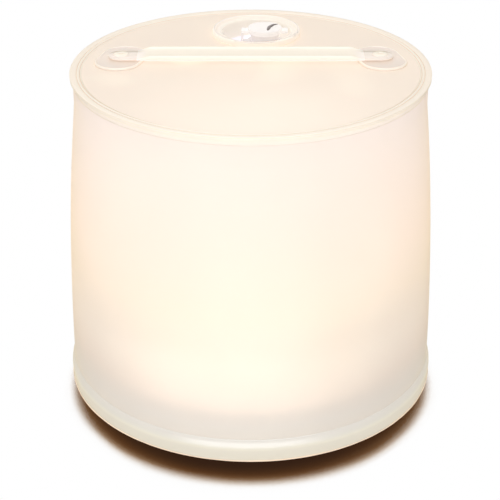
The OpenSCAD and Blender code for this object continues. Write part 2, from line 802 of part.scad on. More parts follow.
module valve_cap() {
    color([0.92, 0.95, 0.97, 0.6]) translate([stem_x, valve_back, stem_top + touch]) {
        cylinder(d = cap_d, h = cap_t);
        translate([0, 0, -plug_depth]) cylinder(r1 = plug_foot_r, r2 = plug_top_r, h = plug_depth + tiny);
        translate([-cap_reach + 2 * hinge_gap, -tether_w / 2, 0])
            cube([cap_reach - cap_d / 2 + tab_overlap, tether_w, tether_t]);
        translate([cap_d / 2 - tab_overlap, -tether_w / 2, 0])
            cube([finger_tab + tab_overlap, tether_w, tether_t]);
    }
}

lower_case();
solar_window();
solar_cells();
solar_backing();
solar_leads();
seal_ring();
case_screws();
bottom_film();
lower_weld_band();
upper_housing();
top_lens();
battery();
battery_foam();
battery_leads();
battery_socket();
control_board();
control_chips();
control_screws();
button_switches();
charge_lights();
light_pipes();
power_button();
charge_button();
led_board();
led_screws();
led_lamps();
reflector_sheet();
led_leads();
side_wall();
wall_seam();
top_film();
top_rim();
upper_weld_band();
left_pad();
right_pad();
strap_studs();
carry_strap();
valve_flange();
valve_stem();
valve_flap();
cap_tether();
valve_cap();
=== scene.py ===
import math

import bpy
from mathutils import Euler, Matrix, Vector, noise


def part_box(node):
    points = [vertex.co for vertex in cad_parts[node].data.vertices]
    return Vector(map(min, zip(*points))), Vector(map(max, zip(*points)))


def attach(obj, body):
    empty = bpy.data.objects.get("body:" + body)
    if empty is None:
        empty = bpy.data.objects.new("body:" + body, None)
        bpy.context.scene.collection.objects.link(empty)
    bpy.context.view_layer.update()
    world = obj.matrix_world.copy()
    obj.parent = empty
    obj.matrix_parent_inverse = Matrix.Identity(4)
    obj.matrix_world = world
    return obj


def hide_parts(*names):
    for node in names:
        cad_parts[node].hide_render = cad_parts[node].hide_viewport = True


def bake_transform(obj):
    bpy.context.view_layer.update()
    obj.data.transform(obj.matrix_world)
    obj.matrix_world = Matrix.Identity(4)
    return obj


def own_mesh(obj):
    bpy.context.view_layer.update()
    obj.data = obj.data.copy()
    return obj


# The camping lantern's looks: an inflated drum of frosted film, lit from below by a flat light unit,
# with a carry strap and an air valve on its top. Everything is in metres, in the frame of the CAD model:
# +Z up, the front at -Y, the ground at Z 0.

MM = 0.001

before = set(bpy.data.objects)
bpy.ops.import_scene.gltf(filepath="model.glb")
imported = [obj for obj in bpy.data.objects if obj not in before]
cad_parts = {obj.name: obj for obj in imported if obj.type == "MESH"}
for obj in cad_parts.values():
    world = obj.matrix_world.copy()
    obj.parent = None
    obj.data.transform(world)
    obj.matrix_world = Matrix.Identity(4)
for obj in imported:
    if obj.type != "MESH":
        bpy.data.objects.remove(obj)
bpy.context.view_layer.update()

# ---------------------------------------------------------------- measures

BASE_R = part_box("bottom_film")[1].x       # outer radius of the bottom flange
TOP_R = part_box("top_film")[1].x           # outer radius of the top flange
FILM_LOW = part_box("bottom_film")[0].z     # underside of the bottom film
WALL_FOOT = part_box("side_wall")[0].z
WALL_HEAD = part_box("side_wall")[1].z
ROOF_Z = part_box("top_film")[1].z          # upper face of the top film
FLANGE_LIP = 1 * MM                       # how far the flanges stand out past the wall
WALL_SWELL = 1.5 * MM                     # how far the wall swells out halfway up
NECK = 9.5 * MM                           # height of the straight neck under the top flange
LOWER_WELD_H = 7.6 * MM                   # height of the weld band at the foot of the wall
UPPER_WELD_H = 2.2 * MM                   # height of the weld band under the top flange
FILM_T = 0.5 * MM                         # thickness of the film

VALVE_LOW, VALVE_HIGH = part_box("valve_flange")
VALVE_AT = (VALVE_LOW + VALVE_HIGH) / 2
CUP_R = 12 * MM                           # bore of the valve cup
CUP_HOLE_R = 13.25 * MM                   # hole in the top film round the cup
VALVE_SKIN_R = 16 * MM                    # where the valve's rings of colour end, just past its flange

STRAP_LOW, STRAP_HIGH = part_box("carry_strap")
STRAP_Y = (STRAP_LOW.y + STRAP_HIGH.y) / 2
STRAP_HALF = (STRAP_HIGH.y - STRAP_LOW.y) / 2
STRAP_MIDDLE = 37.5 * MM                  # how far the thick middle reaches to each side
STRAP_BEAD = (STRAP_HIGH.z - STRAP_LOW.z) / 2   # radius of the bead along each long edge
STRAP_WEB = 1.4 * MM                      # thickness between the beads
TAB_HALF = 4.5 * MM                       # half width of the thin end tabs
TAB_T = 0.8 * MM
STUD_X = STRAP_HIGH.x - TAB_HALF          # distance of each stud from the middle
PAD_L, PAD_W = 23 * MM, 16 * MM           # length and width of an oval pad
PAD_TURN = math.radians(16)               # how far the pads turn out from the front-to-back line

LENS_GLOW_R = 56 * MM                     # where the lens's rings of colour end
POOL_Y = -48 * MM                         # middle of the light that pools at the front of the top
POOL_REACH = 62 * MM                      # how far that pool of light reaches

AROUND = 192                              # steps round the drum
UP = 84                                   # steps up the wall

# ---------------------------------------------------------------- mesh helpers


def mesh_object(name, points, faces, material_of_face=None):
    """A smooth-shaded object from points and faces; material_of_face gives a slot for each face."""
    mesh = bpy.data.meshes.new(name)
    mesh.from_pydata([tuple(p) for p in points], [], faces)
    mesh.validate()
    for i, face in enumerate(mesh.polygons):
        face.use_smooth = True
        if material_of_face:
            face.material_index = material_of_face[i]
    obj = bpy.data.objects.new(name, mesh)
    bpy.context.scene.collection.objects.link(obj)
    return obj


def ring_grid(name, rows, strip_material=None):
    """A closed tube of loops: each row is a loop of points, and the last row joins the first."""
    width = len(rows[0])
    points = [p for row in rows for p in row]
    faces, slots = [], []
    for i in range(len(rows)):
        after = (i + 1) % len(rows)
        for j in range(width):
            side = (j + 1) % width
            faces.append((i * width + j, after * width + j, after * width + side, i * width + side))
            slots.append(strip_material[j] if strip_material else 0)
    return mesh_object(name, points, faces, slots)


def capped_grid(name, rows, caps=(True, True), strip_material=None):
    """A tube of loops, its ends closed by a fan where caps says so.

    strip_material gives a slot for each strip between two loops."""
    width = len(rows[0])
    points = [p for row in rows for p in row]
    faces, slots = [], []
    for i in range(len(rows) - 1):
        here, above = i * width, (i + 1) * width
        for j in range(width):
            side = (j + 1) % width
            faces.append((here + j, here + side, above + side, above + j))
            slots.append(strip_material[i] if strip_material else 0)
    last = (len(rows) - 1) * width
    for closed, first, row, turn in ((caps[0], 0, rows[0], -1), (caps[1], last, rows[-1], 1)):
        if not closed:
            continue
        middle = len(points)
        points.append(sum((Vector(p) for p in row), Vector()) / width)
        for j in range(width):
            pair = (first + j, first + (j + 1) % width)
            faces.append((*pair[::turn], middle))
            slots.append(0)
    return mesh_object(name, points, faces, slots)


def revolve(name, profile, steps=AROUND, shift=None, strip_material=None):
    """A closed (radius, height) profile turned about the Z axis; shift(angle, height) moves it out."""
    rows = []
    for i in range(steps):
        angle = 2 * math.pi * i / steps
        out = [(r + (shift(angle, z) if shift else 0), z) for r, z in profile]
        rows.append([(r * math.cos(angle), r * math.sin(angle), z) for r, z in out])
    return ring_grid(name, rows, strip_material)


def dome(name, profile, centre, steps=64):
    """A (radius, height) profile that starts and ends on the upright axis at centre, turned about it."""
    turns = [2 * math.pi * i / steps for i in range(steps)]
    rows = [[(centre[0] + r * math.cos(turn), centre[1] + r * math.sin(turn), z) for turn in turns]
            for r, z in profile[1:-1]]
    obj = capped_grid(name, rows)
    obj.data.vertices[-2].co = (*centre, profile[0][1])
    obj.data.vertices[-1].co = (*centre, profile[-1][1])
    return obj


def soften(obj, width):
    """Rounds the sharp edges of a CAD node without changing its mesh."""
    weld = obj.modifiers.new("weld", "WELD")
    weld.merge_threshold = 0.001 * MM     # joins only the corners that faces of the CAD mesh share
    bevel = obj.modifiers.new("rounding", "BEVEL")
    bevel.width = width
    bevel.segments = 2
    bevel.limit_method = "ANGLE"
    bevel.angle_limit = math.radians(40)
    bevel.harden_normals = True


def place(obj, body, slot_name, *nodes):
    """Puts a new piece on its CAD body and in place of its CAD nodes; slot_name is not used."""
    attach(obj, body)
    if nodes:
        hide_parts(*nodes)
    return obj


# ---------------------------------------------------------------- materials


class Paint:
    """A node material, built one node at a time."""

    def __init__(self, name):
        self.material = bpy.data.materials.new(name)
        self.material.use_nodes = True
        self.tree = self.material.node_tree
        self.tree.nodes.clear()
        self.output = self.add("OutputMaterial")

    def add(self, kind, settings=None, **inputs):
        """A shader node with its settings; inputs go by name, or by number as i0, i1 and so on."""
        node = self.tree.nodes.new("ShaderNode" + kind)
        for key, value in (settings or {}).items():
            setattr(node, key, value)
        for key, value in inputs.items():
            by_number = key[0] == "i" and key[1:].isdigit()
            socket = node.inputs[int(key[1:]) if by_number else key.replace("_", " ")]
            if isinstance(value, bpy.types.NodeSocket):
                self.tree.links.new(value, socket)
            else:
                socket.default_value = value
        return node

    def place(self):
        """Where on the object, in metres."""
        return self.add("TexCoord").outputs["Object"]

    def height(self, low, high):
        """0 at one height of the object and 1 at another."""
        z = self.add("SeparateXYZ", Vector=self.place()).outputs["Z"]
        return self.add("MapRange", From_Min=low, From_Max=high, Value=z).outputs["Result"]

    def distance(self, x, y):
        """Distance from an upright line of the object."""
        parts = self.add("SeparateXYZ", Vector=self.place())
        flat = self.add("CombineXYZ", X=parts.outputs["X"], Y=parts.outputs["Y"])
        return self.add("VectorMath", {"operation": "DISTANCE"}, i0=flat.outputs["Vector"],
                        i1=(x, y, 0)).outputs["Value"]

    def blend_range(self, value, low, high, at_low, at_high):
        """Goes smoothly from at_low to at_high as value goes from low to high."""
        return self.add("MapRange", {"interpolation_type": "SMOOTHSTEP"}, Value=value,
                        From_Min=low, From_Max=high, To_Min=at_low, To_Max=at_high).outputs["Result"]

    def noise(self, scale, detail):
        return self.add("TexNoise", Vector=self.place(), Scale=scale, Detail=detail).outputs["Fac"]

    def ramp(self, value, stops):
        """A colour ramp; stops are (place, colour) with linear colours."""
        node = self.add("ValToRGB", Fac=value)
        bar = node.color_ramp
        while len(bar.elements) < len(stops):
            bar.elements.new(0.5)
        for element, (spot, colour) in zip(bar.elements, stops):
            element.position = spot
            element.color = (*colour, 1)
        return node.outputs["Color"]

    def math(self, operation, a, b=0.0):
        return self.add("Math", {"operation": operation}, i0=a, i1=b).outputs["Value"]

    def bump(self, value, depth, strength):
        return self.add("Bump", Height=value, Distance=depth, Strength=strength).outputs["Normal"]

    def finish(self, shader):
        self.tree.links.new(shader, self.output.inputs["Surface"])
        return self.material


def rgb(red, green, blue):
    """A colour given as it looks on screen, 0 to 255, as linear light."""

    def linear(v):
        v = v / 255
        return v / 12.92 if v <= 0.04045 else ((v + 0.055) / 1.055) ** 2.4

    return linear(red), linear(green), linear(blue)


def pool(gain):
    """A glow that is gain in the middle of the pool of light on the top and fades to 1 at its edge."""
    return lambda p: p.blend_range(p.distance(0, POOL_Y), 0.0, POOL_REACH, gain, 1.0)


def lamp_spread(p):
    """Painted light and shade: the glow on the wall, a share of its full strength from place to place.

    It is weaker in the middle of the upper part, and lower down on both sides of the middle,
    most on the right; lower down it is stronger again at the outer edges."""
    parts = p.add("SeparateXYZ", Vector=p.place())
    x, z = parts.outputs["X"], parts.outputs["Z"]
    middle_loss, right_loss, left_loss, edge_gain, foot_share = 0.28, 0.4, 0.24, 0.4, 0.35
    middle = p.blend_range(p.math("ABSOLUTE", x), 20 * MM, 64 * MM, middle_loss, 0.0)
    above = p.blend_range(z, 38 * MM, 52 * MM, 0.0, 1.0)
    right = p.math("SUBTRACT", p.blend_range(x, 2 * MM, 38 * MM, 0.0, right_loss),
                   p.blend_range(x, 44 * MM, 62 * MM, 0.0, edge_gain))
    left = p.math("SUBTRACT", p.blend_range(x, -44 * MM, -24 * MM, left_loss, 0.0),
                  p.blend_range(x, -64 * MM, -50 * MM, edge_gain, 0.0))
    below = p.math("MULTIPLY", p.blend_range(z, 44 * MM, 64 * MM, 1.0, 0.0),
                   p.blend_range(z, 18 * MM, 34 * MM, foot_share, 1.0))
    lost = p.math("ADD", p.math("MULTIPLY", middle, above),
                  p.math("MULTIPLY", p.math("ADD", left, right), below))
    return p.math("SUBTRACT", 1.0, lost)


def film(name, colour_stops, glow_stops, low, high, glow=1.0, see_through=0.1, roughness=0.42,
         ripple=0.05, gloss=0.12, shine=(1.5, 0.22)):
    """Frosted film: pale, softly glossy, with painted light: it glows as if lit from within by the light
    unit;
    what lies behind it shows through, blurred.

    colour_stops and glow_stops are the colour and the painted light it gives off, from height low up to
    high.
    glow is the strength of that light, or a function of the paint that gives it from place to place.
    see_through is a share, or stops of it like the colours; ripple is the depth of the waves in mm.
    shine is the refractive index and the roughness of the glossy coat, and gloss its weight."""
    p = Paint(name)
    rise = p.height(low, high)
    mottle = p.noise(55.0, 4.0)
    colour = p.ramp(rise, colour_stops)
    tone = p.ramp(mottle, [(0.3, (0.975, 0.975, 0.975)), (0.7, (1, 1, 1))])
    toned = p.add("Mix", {"data_type": "RGBA", "blend_type": "MULTIPLY"}, i0=1.0, i6=colour, i7=tone)
    glow_colour = p.ramp(rise, glow_stops)
    if callable(glow):
        glow = glow(p)
    grain = p.bump(p.noise(1400.0, 2.0), 0.02 * MM, 0.35)
    waves = p.add("Bump", Height=p.noise(38.0, 2.0), Distance=ripple * MM, Strength=0.6, Normal=grain)
    skin = p.add("BsdfPrincipled", Base_Color=toned.outputs["Result"], Roughness=roughness, IOR=1.45,
                 Specular_IOR_Level=0.45, Coat_Weight=gloss, Coat_IOR=shine[0], Coat_Roughness=shine[1],
                 Sheen_Weight=0.85, Sheen_Roughness=0.4, Sheen_Tint=(1.0, 0.84, 0.52, 1),
                 Emission_Color=glow_colour, Emission_Strength=glow, Normal=waves.outputs["Normal"])
    frost = p.add("BsdfRefraction", Color=(1.0, 0.98, 0.95, 1), Roughness=0.5, IOR=1.45)
    clear = p.add("BsdfTransparent", Color=(1.0, 0.97, 0.92, 1))
    passed = p.add("MixShader", Fac=p.add("LightPath").outputs["Is Shadow Ray"],
                   i1=frost.outputs["BSDF"], i2=clear.outputs["BSDF"])
    if isinstance(see_through, list):
        see_through = p.ramp(rise, [(spot, (value, value, value)) for spot, value in see_through])
    mixed = p.add("MixShader", Fac=see_through, i1=skin.outputs["BSDF"], i2=passed.outputs["Shader"])
    material = p.finish(mixed.outputs["Shader"])
    material.cycles.emission_sampling = "NONE"
    return material


def moulded(name, colour, roughness, depth=0.01, coat=0.0, alpha=1.0, glow=0.0, metal=0.0):
    """A plastic or metal surface with a fine grain, its depth in mm, and faint unevenness of tone."""
    p = Paint(name)
    grain = 260.0                         # how fine the grain is
    shade = p.noise(90.0, 4.0)
    base = p.ramp(shade, [(0.25, tuple(c * 0.93 for c in colour)), (0.75, colour)])
    rough = p.add("MapRange", Value=p.noise(grain, 3.0), To_Min=roughness * 0.85, To_Max=roughness * 1.15)
    skin = p.add("BsdfPrincipled", Base_Color=base, Roughness=rough.outputs["Result"], Coat_Weight=coat,
                 Coat_Roughness=0.12, Metallic=metal, Alpha=alpha, Emission_Color=(*colour, 1),
                 Emission_Strength=glow, Normal=p.bump(p.noise(grain * 4, 2.0), depth * MM, 0.5))
    return p.finish(skin.outputs["BSDF"])


def clear_vinyl(name, colour, veil, roughness, glow):
    """Clear soft moulding: glossy, slightly milky; veil is how much it hides of what lies behind it.

    glow is painted light, as if the light unit lit it from below.
    """
    p = Paint(name)
    milk = p.ramp(p.noise(120.0, 4.0), [(0.3, tuple(c * 0.93 for c in colour)), (0.7, colour)])
    skin = p.add("BsdfPrincipled", Base_Color=milk, Roughness=roughness, IOR=1.5, Coat_Weight=0.3,
                 Coat_Roughness=0.06, Alpha=veil, Emission_Color=(*colour, 1), Emission_Strength=glow,
                 Normal=p.bump(p.noise(160.0, 2.0), 0.06 * MM, 0.5))
    return p.finish(skin.outputs["BSDF"])


# Painted shade on the wall: greyer, and with a dimmer glow, towards its foot, shade below the light unit's
# lens; lamp_spread paints the glow unevenly round the drum.
WALL_FILM = film(
    "frosted_wall",
    [(0.0, rgb(228, 224, 217)), (0.12, rgb(234, 229, 221)), (0.3, rgb(246, 241, 233)),
     (1.0, rgb(248, 243, 235))],
    [(0.03, rgb(130, 124, 117)), (0.11, rgb(125, 123, 123)), (0.19, rgb(131, 116, 112)),
     (0.32, rgb(142, 127, 118)), (0.46, rgb(152, 132, 112)), (0.6, rgb(161, 138, 124)),
     (1.0, rgb(145, 134, 138))],
    WALL_FOOT, WALL_HEAD, glow=lamp_spread,
    see_through=[(0.08, 0.37), (0.17, 0.42), (0.34, 0.41), (0.55, 0.36)])
# Painted light on the top film: a brighter glow on its underside and cut edge, and a painted pool of light
# at the front.
ROOF_FILM = film(
    "frosted_roof",
    [(0.0, rgb(243, 228, 214)), (1.0, rgb(247, 232, 218))],
    [(0.0, rgb(160, 159, 151)), (0.44, rgb(160, 159, 151)), (0.49, rgb(116, 117, 117)),
     (1.0, rgb(116, 117, 117))],
    ROOF_Z - 1 * MM, ROOF_Z + 1 * MM, glow=pool(1.42), see_through=0.2, roughness=0.36, ripple=0.06)
# Painted shade on the bottom film: browner and darker at its underside and cut edge, beside the shadow
# under the flange.
BASE_FILM = film(
    "frosted_base",
    [(0.0, rgb(226, 202, 178)), (1.0, rgb(245, 234, 217))],
    [(0.0, rgb(134, 108, 88)), (0.7, rgb(168, 150, 130))],
    FILM_LOW, FILM_LOW + 0.8 * MM)
# Painted light and shade on the lower weld band: a brighter glow along its upper ridge, a painted
# highlight, and a slightly darker upper flank, painted shade.
WELD_FILM = film(
    "weld_band",
    [(0.0, rgb(229, 223, 208)), (0.5, rgb(230, 225, 212)), (0.75, rgb(225, 220, 211)),
     (1.0, rgb(232, 227, 219))],
    [(0.0, rgb(114, 110, 98)), (0.45, rgb(116, 111, 101)), (0.56, rgb(134, 130, 114)),
     (0.68, rgb(127, 125, 118)), (1.0, rgb(136, 133, 130))],
    WALL_FOOT, WALL_FOOT + LOWER_WELD_H, see_through=0.2, roughness=0.3, ripple=0.02, gloss=1.0,
    shine=(2.2, 0.26))
# Painted light on the weld band under the rim: a stronger glow at its foot, where it meets the wall, and a
# paler, brighter top under the flange, a painted highlight.
UPPER_FILM = film(
    "weld_under_rim",
    [(0.0, rgb(248, 243, 235)), (1.0, rgb(252, 248, 240))],
    [(0.0, rgb(154, 141, 136)), (0.35, rgb(140, 129, 124)), (0.65, rgb(134, 127, 118)),
     (1.0, rgb(150, 144, 132))],
    WALL_HEAD - UPPER_WELD_H, WALL_HEAD, see_through=0.3)
TAB_FILM = film(
    "tab_film",
    [(0.0, rgb(243, 229, 217)), (1.0, rgb(246, 232, 221))],
    [(0.0, rgb(118, 117, 116)), (1.0, rgb(118, 117, 116))],
    STRAP_LOW.z, STRAP_HIGH.z, see_through=0.02, roughness=0.26)
# Painted light on the rim: its glow grows towards the front, in the painted pool of light.
RIM_FILM = film(
    "weld_rim",
    [(0.0, rgb(243, 229, 214)), (1.0, rgb(249, 237, 223))],
    [(0.0, rgb(112, 108, 102)), (1.0, rgb(124, 122, 117))],
    ROOF_Z - 3 * MM, ROOF_Z + 1 * MM, glow=pool(1.15), roughness=0.28)
# Painted shade: the rim's two grooves are painted darker, as shade falls in them; their glow grows towards
# the front.
GROOVE_SHADE_FILM = film(
    "weld_groove_shade",
    [(0.0, rgb(224, 209, 191)), (1.0, rgb(226, 211, 194))],
    [(0.0, rgb(94, 88, 80)), (1.0, rgb(94, 88, 80))],
    ROOF_Z - 3 * MM, ROOF_Z + 1 * MM, glow=pool(1.8), see_through=0.05)
# Painted light and shade on the strap: paler towards its top, where light falls, and a stronger, bluer glow
# low down, painted light on its shaded underside.
STRAP_FILM = film(
    "strap_film",
    [(0.0, rgb(244, 230, 214)), (0.6, rgb(248, 235, 219)), (1.0, rgb(253, 247, 236))],
    [(0.0, rgb(150, 159, 180)), (0.3, rgb(138, 142, 154)), (0.65, rgb(126, 128, 120)),
     (0.95, rgb(116, 114, 102))],
    STRAP_LOW.z, STRAP_HIGH.z, roughness=0.28)
PAD_FILM = film(
    "pad_film",
    [(0.0, rgb(239, 225, 213)), (1.0, rgb(241, 227, 216))],
    [(0.0, rgb(114, 113, 114)), (1.0, rgb(114, 113, 114))],
    ROOF_Z, ROOF_Z + 1 * MM, see_through=0.15, roughness=0.22)
# Painted highlight: the pads' ridges are paler and glow more than the pads.
RIDGE_FILM = film(
    "pad_ridge",
    [(0.0, rgb(247, 233, 218)), (1.0, rgb(250, 238, 225))],
    [(0.0, rgb(122, 120, 116)), (1.0, rgb(126, 124, 119))],
    ROOF_Z, ROOF_Z + 1 * MM, see_through=0.05, roughness=0.24)

# ---------------------------------------------------------------- film drum


def ease(value, low, high):
    """0 below low, 1 above high and a smooth step between."""
    share = min(1, max(0, (value - low) / (high - low)))
    return share * share * (3 - 2 * share)


def wall_radius(z):
    """Outer radius of the wall at a height: a slight swell, and a straight neck under the top flange."""
    u = min(1, max(0, (z - WALL_FOOT) / (WALL_HEAD - NECK - WALL_FOOT)))
    neck_r = TOP_R - FLANGE_LIP
    return (BASE_R - FLANGE_LIP) * (1 - u) + neck_r * u + WALL_SWELL * math.sin(math.pi * u)


def film_ripple(angle, z):
    """Soft unevenness of the blown-up film, with fine puckers where it is welded at top and bottom."""
    top = WALL_HEAD - NECK
    level = min(z, top)
    slow = 0.16 * MM * noise.noise(Vector((2.2 * math.cos(angle), 2.2 * math.sin(angle), level * 28)))
    near_weld = math.exp(-(level - WALL_FOOT) / (7 * MM)) + math.exp(-(top - level) / (6 * MM))
    spot = Vector((14 * math.cos(angle), 14 * math.sin(angle), level * 60))
    fine = 0.09 * MM * near_weld * noise.noise(spot)
    return slow + fine


def heights(low, high, steps):
    """Evenly spaced heights, both ends included."""
    return [low + (high - low) * i / steps for i in range(steps + 1)]


def make_wall():
    """The side wall: one sheet of film from the bottom flange to the top one."""
    levels = heights(WALL_FOOT, WALL_HEAD, UP)
    profile = [(wall_radius(z), z) for z in levels]
    profile += [(wall_radius(z) - FILM_T, z) for z in reversed(levels)]
    wall = revolve("side_wall_skin", profile, shift=film_ripple)
    wall.data.materials.append(WALL_FILM)
    place(wall, "light_unit", "frosted_film", "side_wall")
    return wall


def make_band(name, z_low, z_high, lifts, material, body, node):
    """A weld band round the wall; lifts are (share of its height, distance off the wall in mm)."""
    back = 0.04 * MM                      # the back of the band stays this far off the wall
    marks = [(z_low + (z_high - z_low) * share, lift * MM) for share, lift in lifts]
    outside = [(wall_radius(z) + lift, z) for z, lift in marks]
    inside = [(wall_radius(z) + back, z) for z in (z_high, (z_low + z_high) / 2, z_low)]
    band = revolve(name, outside + inside, shift=film_ripple, steps=2 * AROUND)
    band.data.materials.append(material)
    return place(band, body, "weld", node)


def make_seam():
    """The lap seam down the back: a low strip with soft edges, sunk into the wall near the top weld."""
    low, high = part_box("wall_seam")[0].z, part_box("wall_seam")[1].z
    back = math.pi / 2
    half = math.radians(3.6)              # half of its width, as an angle
    across = [-1, -0.9, -0.6, 0, 0.6, 0.9, 1]
    lift = [0.05, 0.24, 0.32, 0.32, 0.32, 0.24, 0.05]
    under, over = 0.005, 0.01             # its two faces start this far off the wall, in mm
    rows = []
    for z in heights(low, high, UP):
        sunk = 1 - 0.92 * ease(z, WALL_HEAD - NECK - 6 * MM, WALL_HEAD - NECK + 0.5 * MM)
        outer, inner = [], []
        for share, rise in zip(across, lift):
            angle = back + share * half
            r = wall_radius(z) + film_ripple(angle, z)
            for face, off in ((outer, over + rise * sunk), (inner, under)):
                face.append(((r + off * MM) * math.cos(angle), (r + off * MM) * math.sin(angle), z))
        rows.append(outer + inner[::-1])
    seam = capped_grid("wall_seam_strip", rows)
    seam.data.materials.append(WALL_FILM)
    return place(seam, "light_unit", "weld", "wall_seam")


def make_base_flange():
    """The bottom film, out to its cut edge, which isn't quite even."""
    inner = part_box("top_lens")[1].x - 8 * MM   # it reaches in over the edge of the lens
    edge = FILM_T / 2                     # radius of the rounded cut edge
    profile = [(inner, FILM_LOW), (BASE_R - edge, FILM_LOW)]
    for turn in range(-60, 61, 30):
        profile.append((BASE_R - edge * (1 - math.cos(math.radians(turn))),
                        FILM_LOW + edge + edge * math.sin(math.radians(turn))))
    profile += [(BASE_R - edge, FILM_LOW + FILM_T), (inner, FILM_LOW + FILM_T)]

    def uneven(angle, z):
        return -0.12 * MM * abs(noise.noise(Vector((9 * math.cos(angle), 9 * math.sin(angle), 3))))

    flange = revolve("bottom_film_sheet", profile, shift=uneven, steps=3 * AROUND)
    flange.data.materials.append(BASE_FILM)
    return place(flange, "light_unit", "frosted_film", "bottom_film")


def make_rim():
    """The pressed weld on the top flange: a flat lip, then a fine bead between two shallow grooves.

    Each step is (distance in from the edge, height over the film, both in mm, material slot)."""
    steps = [(0, 0, 0), (0, 0.2, 0), (0.1, 0.34, 0), (0.35, 0.44, 0), (0.9, 0.48, 0), (1.6, 0.47, 0),
             (2.0, 0.4, 0), (2.15, 0.24, 1), (2.4, 0.24, 0), (2.55, 0.42, 0), (2.75, 0.52, 0),
             (2.95, 0.5, 0), (3.12, 0.34, 0), (3.25, 0.16, 1), (3.5, 0.12, 0), (3.9, 0.04, 0),
             (3.9, -0.05, 0)]
    profile = [(TOP_R - inset * MM, ROOF_Z + z * MM) for inset, z, _ in steps]
    slots = [slot for _, _, slot in steps]
    rim = revolve("top_rim_weld", profile, steps=2 * AROUND, strip_material=slots)
    rim.data.materials.append(RIM_FILM)
    # the groove strips, slot 1, take the painted shade
    rim.data.materials.append(GROOVE_SHADE_FILM)
    return place(rim, "drum_top", "weld", "top_rim")


def roof_relief(x, y):
    """Height of the top film above its flat place: a faint swell, puckered near the rim and the welds."""
    r = math.hypot(x, y)
    angle = math.atan2(y, x)
    weld = TOP_R - 3 * MM                 # inner edge of the rim's weld
    swell = 0.22 * MM * (1 - (r / TOP_R) ** 2) * noise.noise(Vector((x * 45, y * 45, 1)))
    near_rim = math.exp(-(weld - r) / (5 * MM)) if r < weld else 0
    pucker = 0.07 * MM * near_rim * noise.noise(Vector((12 * math.cos(angle), 12 * math.sin(angle), 0)))
    return swell + pucker


def make_roof():
    """The top film: a sheet with a round hole for the valve cup."""
    hole = Vector((VALVE_AT.x, VALVE_AT.y))
    edge_cut = 0.06 * MM                  # bevel of its cut edge, which ends as far inside the rim's
    rings = 44
    shares = [j / rings for j in range(rings + 1)]
    rows = []
    for i in range(AROUND):
        angle = 2 * math.pi * i / AROUND
        way = Vector((math.cos(angle), math.sin(angle)))
        along = hole.dot(way)
        reach = -along + math.sqrt(along * along - hole.length_squared + (TOP_R - edge_cut) ** 2)
        spots = [hole + way * (CUP_HOLE_R + (reach - CUP_HOLE_R - edge_cut) * share) for share in shares]
        under = [(s.x, s.y, ROOF_Z - FILM_T + roof_relief(s.x, s.y)) for s in spots]
        over = [(s.x, s.y, ROOF_Z + roof_relief(s.x, s.y)) for s in reversed(spots)]
        edge = hole + way * reach
        cut = [(edge.x, edge.y, z) for z in (ROOF_Z - FILM_T + edge_cut, ROOF_Z - edge_cut)]
        rows.append(under + cut + over)
    roof = ring_grid("top_film_sheet", rows)
    roof.data.materials.append(ROOF_FILM)
    return place(roof, "drum_top", "frosted_film", "top_film")


wall = make_wall()
seam = make_seam()
make_band("lower_weld", WALL_FOOT, WALL_FOOT + LOWER_WELD_H,
          [(0, 0.86), (0.03, 0.76), (0.08, 0.7), (0.2, 0.72), (0.35, 0.84), (0.46, 0.95), (0.52, 0.97),
           (0.58, 0.93), (0.65, 0.78), (0.73, 0.57), (0.81, 0.36), (0.89, 0.17), (0.95, 0.08), (1, 0.05)],
          WELD_FILM, "light_unit", "lower_weld_band")
make_band("upper_weld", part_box("upper_weld_band")[0].z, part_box("upper_weld_band")[1].z,
          [(0, 0.05), (0.2, 0.08), (0.45, 0.18), (0.7, 0.34), (0.88, 0.6), (1, 0.98)],
          UPPER_FILM, "drum_top", "upper_weld_band")
make_base_flange()
make_rim()
make_roof()

# ---------------------------------------------------------------- carry strap


def stadium(length, width, inset, z, turn, centre, steps=28):
    """A loop of points: an oval with straight sides, shrunk by inset."""
    half, r = (length - width) / 2, width / 2 - inset
    loop = []
    for end in (1, -1):
        for i in range(steps + 1):
            angle = math.pi * (i / steps - 0.5) + (0 if end > 0 else math.pi)
            spot = Vector((end * half + r * math.cos(angle), r * math.sin(angle), 0))
            spot.rotate(Euler((0, 0, turn)))
            loop.append((centre[0] + spot.x, centre[1] + spot.y, z))
    return loop


def make_pad(side, node):
    """An oval reinforcing pad with a raised ridge round it.

    Each step is (distance in from the edge, height over the film, both in mm, material slot)."""
    steps = [(7.4, 0.02, 0), (3, 0.02, 0), (0.02, 0.02, 0), (0, 0.3, 1), (0.06, 0.6, 1), (0.2, 0.84, 1),
             (0.42, 0.94, 1), (0.64, 0.9, 1), (0.8, 0.74, 0), (0.92, 0.58, 0), (1.1, 0.5, 0),
             (1.8, 0.46, 0), (3.4, 0.46, 0), (5.4, 0.48, 0), (7.4, 0.5, 0)]
    turn = math.pi / 2 + side * PAD_TURN
    rows = [stadium(PAD_L, PAD_W, inset * MM, ROOF_Z + z * MM, turn, (side * STUD_X, STRAP_Y))
            for inset, z, _ in steps]
    pad = capped_grid(node + "_weld", rows, strip_material=[slot for _, _, slot in steps])
    pad.data.materials.append(PAD_FILM)
    pad.data.materials.append(RIDGE_FILM)
    return place(pad, "drum_top", "strap_film", node)


def strap_section(x):
    """The strap's cross-section at x: half width, bead radius, thickness of the flat middle."""
    far = abs(x)
    taper = ease(far, STRAP_MIDDLE - 4 * MM, STRAP_MIDDLE + 1 * MM)
    half = STRAP_HALF + (TAB_HALF - STRAP_HALF) * taper
    if far > STUD_X:
        half = math.sqrt(max(0.02 * MM * MM, TAB_HALF ** 2 - (far - STUD_X) ** 2))
    bead = min(STRAP_BEAD + (TAB_T / 2 - STRAP_BEAD) * taper, half * 0.6)
    return half, bead, STRAP_WEB + (TAB_T - STRAP_WEB) * taper


